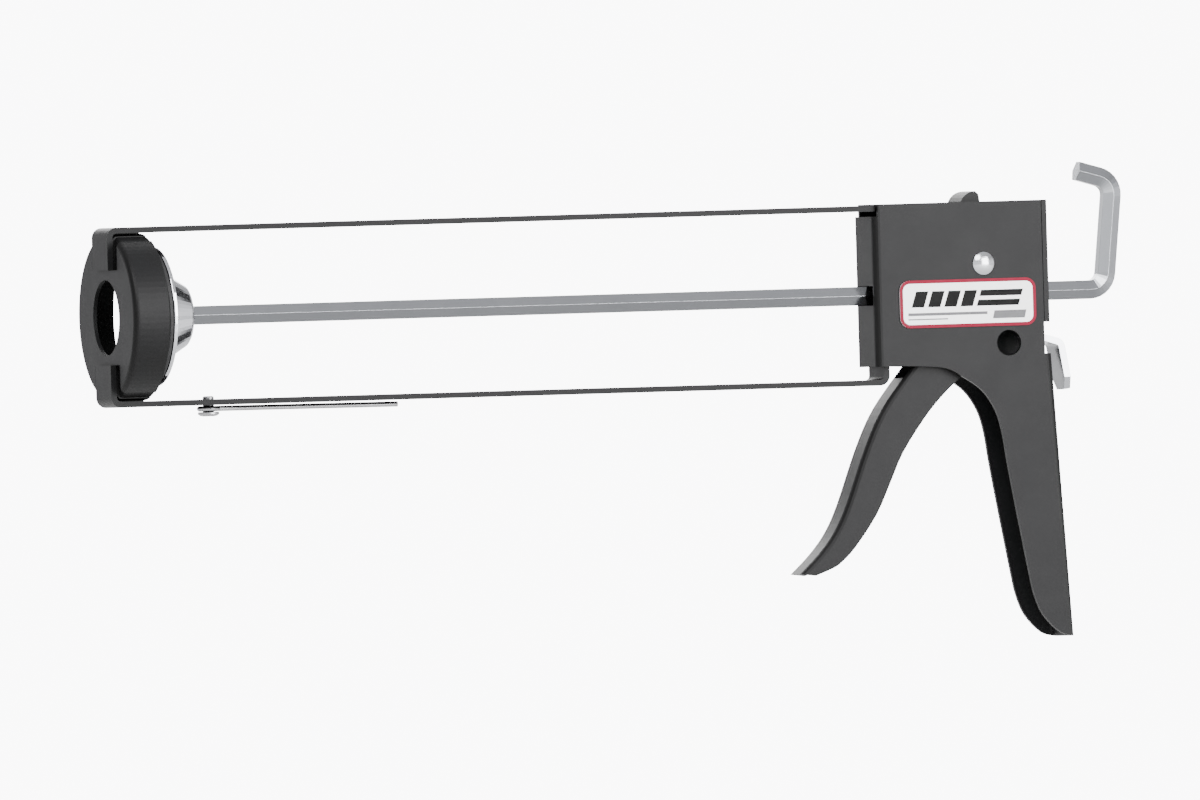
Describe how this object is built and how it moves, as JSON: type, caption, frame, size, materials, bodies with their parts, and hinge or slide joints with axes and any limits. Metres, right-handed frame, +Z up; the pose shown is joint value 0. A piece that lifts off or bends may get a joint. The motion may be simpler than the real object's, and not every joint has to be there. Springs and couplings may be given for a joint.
{
  "type": "caulking gun",
  "caption": "Hand-held quart-size caulking gun: open strap frame with a front cup, hexagon push rod with pull hook, plunger, pistol grip, squeeze trigger, release tab and swing-out seal punch.",
  "frame": {"origin": "on the flat folded back of the pistol grip, about half way down it, in the middle of its width", "axes": "+X back along the push rod to its hook, +Y to the gun's right side, +Z up, away from the grip"},
  "size_m": [0.4642, 0.0718, 0.2023],
  "materials": {
    "front_cup": "satin dark grey powder coat",
    "upper_strap": "satin dark grey powder coat",
    "lower_strap": "satin dark grey powder coat",
    "handle_housing": "satin dark grey powder coat",
    "rear_plate": "satin dark grey powder coat",
    "trigger": "satin dark grey powder coat",
    "trigger_pin": "bright plated steel",
    "drive_plate": "hardened steel",
    "drive_spring": "spring steel",
    "spring_seat": "plain steel",
    "catch_spring": "spring steel",
    "catch_plate": "bright plated steel",
    "push_rod": "bright zinc-plated hexagon bar",
    "plunger_pad": "black",
    "plunger_disc": "bright plated steel",
    "plunger_collar": "bright plated steel",
    "plunger_washer": "zinc-plated",
    "plunger_nut": "zinc-plated",
    "punch_rivet": "zinc-plated",
    "punch_wire": "bright wire",
    "side_label": "printed white film with a red border"
  },
  "bodies": {
    "frame": {"front_cup": "front_cup", "upper_strap": "upper_strap", "lower_strap": "lower_strap", "handle_housing": "handle_housing", "rear_plate": "rear_plate", "trigger_pin": "trigger_pin", "drive_spring": "drive_spring", "spring_seat": "spring_seat", "catch_spring": "catch_spring", "punch_rivet": "punch_rivet", "side_label": "side_label"},
    "rod": {"push_rod": "push_rod", "plunger_pad": "plunger_pad", "plunger_disc": "plunger_disc", "plunger_collar": "plunger_collar", "plunger_washer": "plunger_washer", "plunger_nut": "plunger_nut"},
    "trigger": {"trigger": "trigger"},
    "drive": {"drive_plate": "drive_plate"},
    "catch": {"catch_plate": "catch_plate"},
    "punch": {"punch_wire": "punch_wire"}
  },
  "joints": [
    {"name": "rod_slide", "type": "slide", "parent": "frame", "child": "rod", "axis": [1, 0, 0], "range_m": [0, 0.309]},
    {"name": "trigger_pivot", "type": "hinge", "parent": "frame", "child": "trigger", "pos_m": [-0.03365, 0, 0.1025], "axis": [0, -1, 0], "range_deg": [0, 22], "stiffness_Nm_per_rad": 0.6, "springref_deg": -17.19},
    {"name": "drive_slide", "type": "slide", "parent": "frame", "child": "drive", "axis": [-1, 0, 0], "range_m": [0, 0.0037], "deforming": ["drive_spring"]},
    {"name": "catch_pivot", "type": "hinge", "parent": "frame", "child": "catch", "pos_m": [-0.01455, 0, 0.1248], "axis": [0, 1, 0], "range_deg": [0, 4], "stiffness_Nm_per_rad": 0.4, "springref_deg": -11.46, "deforming": ["catch_spring"]},
    {"name": "punch_swing", "type": "hinge", "parent": "frame", "child": "punch", "pos_m": [-0.38335, 0, 0.05], "axis": [0, 0, 1], "range_deg": [0, 180]}
  ],
  "couplings": [
    {"joint": "drive_slide", "follows": "trigger_pivot", "m_per_rad": 0.0095}
  ]
}
